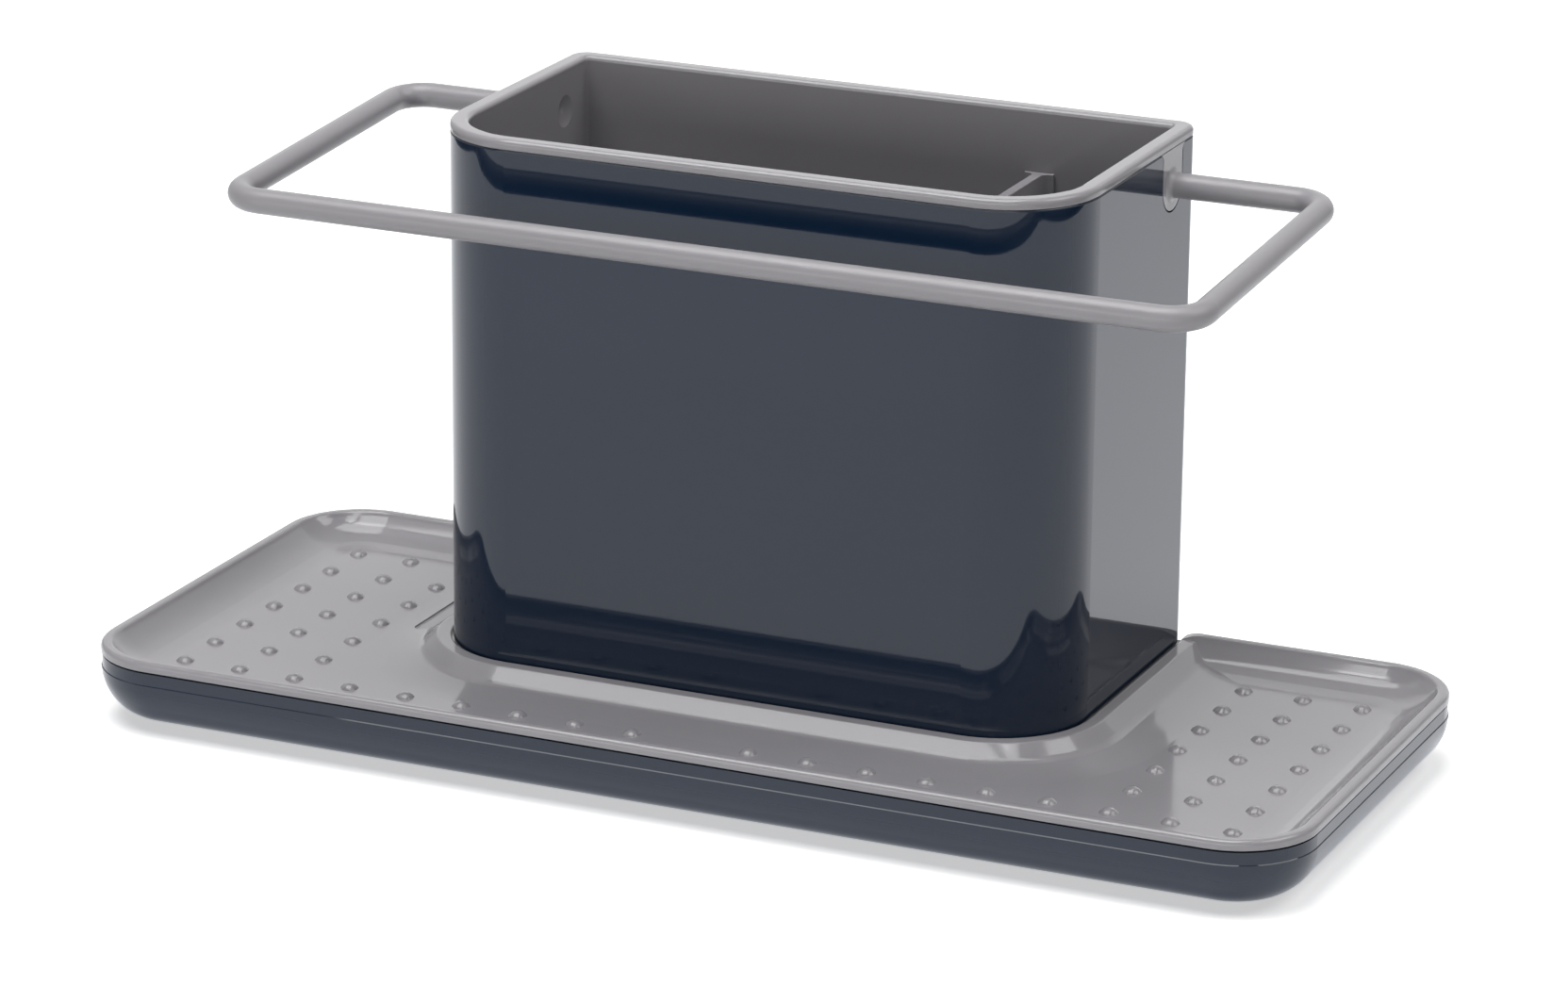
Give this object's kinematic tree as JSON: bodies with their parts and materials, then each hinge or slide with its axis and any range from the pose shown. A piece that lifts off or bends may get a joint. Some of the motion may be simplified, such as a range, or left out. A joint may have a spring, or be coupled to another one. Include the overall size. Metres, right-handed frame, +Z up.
{
  "type": "kitchen sink caddy",
  "caption": "Washing-up caddy: a tall lined pot with a divider and a looped hanging rail stands in the collar of a dished drain tray, which drops into a drip base on soft feet.",
  "frame": {"origin": "on the worktop, under the middle of the trays", "axes": "+X along the length of the trays, to the right as seen from the front; +Y from the front to the back; +Z up"},
  "size_m": [0.3058, 0.129, 0.1453],
  "materials": {
    "dark_gloss": "polished",
    "grey_satin": "satin gloss",
    "foot_rubber": "matt"
  },
  "bodies": {
    "base": {"base_tray": "dark_gloss", "foot_front_left": "foot_rubber", "foot_front_right": "foot_rubber", "foot_back_left": "foot_rubber", "foot_back_right": "foot_rubber"},
    "tray": {"drain_tray": "grey_satin"},
    "pot": {"pot_shell": "dark_gloss"},
    "liner": {"pot_liner": "grey_satin", "rail": "grey_satin"},
    "divider": {"divider": "grey_satin"}
  },
  "joints": [
    {"name": "tray_lift", "type": "slide", "parent": "base", "child": "tray", "axis": [0, 0, 1], "range_m": [0, 0.04]},
    {"name": "pot_lift", "type": "slide", "parent": "tray", "child": "pot", "axis": [0, 0, 1], "range_m": [0, 0.05]},
    {"name": "liner_lift", "type": "slide", "parent": "pot", "child": "liner", "axis": [0, 0, 1], "range_m": [0, 0.15]},
    {"name": "divider_lift", "type": "slide", "parent": "liner", "child": "divider", "axis": [0, 0, 1], "range_m": [0, 0.14]}
  ]
}
